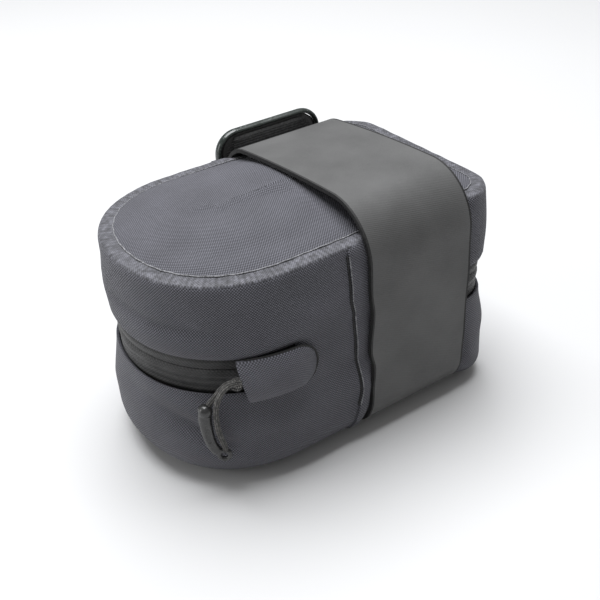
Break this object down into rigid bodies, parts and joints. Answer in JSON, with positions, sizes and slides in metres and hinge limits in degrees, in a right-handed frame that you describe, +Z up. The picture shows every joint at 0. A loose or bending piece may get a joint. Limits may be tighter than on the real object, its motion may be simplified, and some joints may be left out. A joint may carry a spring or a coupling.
{
  "type": "saddle bag",
  "caption": "Small charcoal saddle bag with a welded cloth shell, a waterproof zip round the nose, a cord pull and a wide rubberised hook-and-loop strap.",
  "frame": {"origin": "on the surface that the bag stands on, on the centreline of its shell and midway along it", "axes": "+X towards the flat rear end, -X towards the rounded nose, -Y towards the side with the zip garage and pull, +Z up"},
  "size_m": [0.152, 0.1071, 0.1022],
  "materials": {
    "bag_cloth": "matte laminated plain weave",
    "cloth_edge": "rougher welded band of the same cloth",
    "foam": "closed-cell foam sheet",
    "zip_tape": "smooth coated waterproof zip tape",
    "zip_coil": "moulded coil",
    "strap_rubber": "smooth matte rubberised strap",
    "hook_and_loop": "hook and loop pile",
    "black_plastic": "dark moulded plastic, half gloss",
    "black_metal": "black coated die casting",
    "cord_braid": "braided cord"
  },
  "bodies": {
    "base": {"bottom_panel": "bag_cloth", "bottom_foam_sheet": "foam", "lower_wall_nose": "bag_cloth", "lower_wall_rear": "bag_cloth", "side_hinge_cloth_lower": "bag_cloth", "lower_zip_tape": "zip_tape", "lower_zip_coil": "zip_coil", "zip_start_stop": "black_metal", "zip_end_stop": "black_metal", "garage_lower": "bag_cloth", "strap_under": "strap_rubber"},
    "lid": {"top_panel": "bag_cloth", "weld_border": "cloth_edge", "top_foam_sheet": "foam", "upper_wall_nose": "bag_cloth", "upper_wall_rear": "bag_cloth", "side_hinge_cloth_upper": "bag_cloth", "upper_zip_tape": "zip_tape", "upper_zip_coil": "zip_coil", "garage_upper": "bag_cloth", "strap_near_side": "strap_rubber"},
    "strap_over": {"strap_over": "strap_rubber", "strap_loop_patch": "hook_and_loop"},
    "strap_flap": {"strap_end": "strap_rubber", "strap_hook_patch": "hook_and_loop", "strap_end_binding": "black_plastic"},
    "slider": {"slider_body": "black_metal", "slider_bail": "black_metal"},
    "pull": {"pull_knot": "cord_braid", "pull_cord_short": "cord_braid", "pull_cord_long": "cord_braid", "pull_grip": "black_plastic"}
  },
  "joints": [
    {"name": "lid_open", "type": "hinge", "parent": "base", "child": "lid", "pos_m": [0, -0.052, 0.0535], "axis": [1, 0, 0], "range_deg": [0, 105]},
    {"name": "strap_lift", "type": "hinge", "parent": "lid", "child": "strap_over", "pos_m": [0.0293, -0.0383, 0.0996], "axis": [1, 0, 0], "range_deg": [0, 65]},
    {"name": "strap_end_peel", "type": "hinge", "parent": "base", "child": "strap_flap", "pos_m": [0.0293, 0.0506, 0.022], "axis": [-1, 0, 0], "range_deg": [0, 97.5]},
    {"name": "slider_run", "type": "hinge", "parent": "base", "child": "slider", "pos_m": [-0.0265, 0, 0.0535], "axis": [0, 0, -1], "range_deg": [0, 150]},
    {"name": "pull_swing", "type": "hinge", "parent": "slider", "child": "pull", "pos_m": [-0.05274, -0.04503, 0.052], "axis": [-0.7934, 0.6088, 0], "range_deg": [0, 60]}
  ],
  "couplings": [
    {"joint": "strap_end_peel", "follows": "strap_lift", "ratio": 1.5}
  ]
}
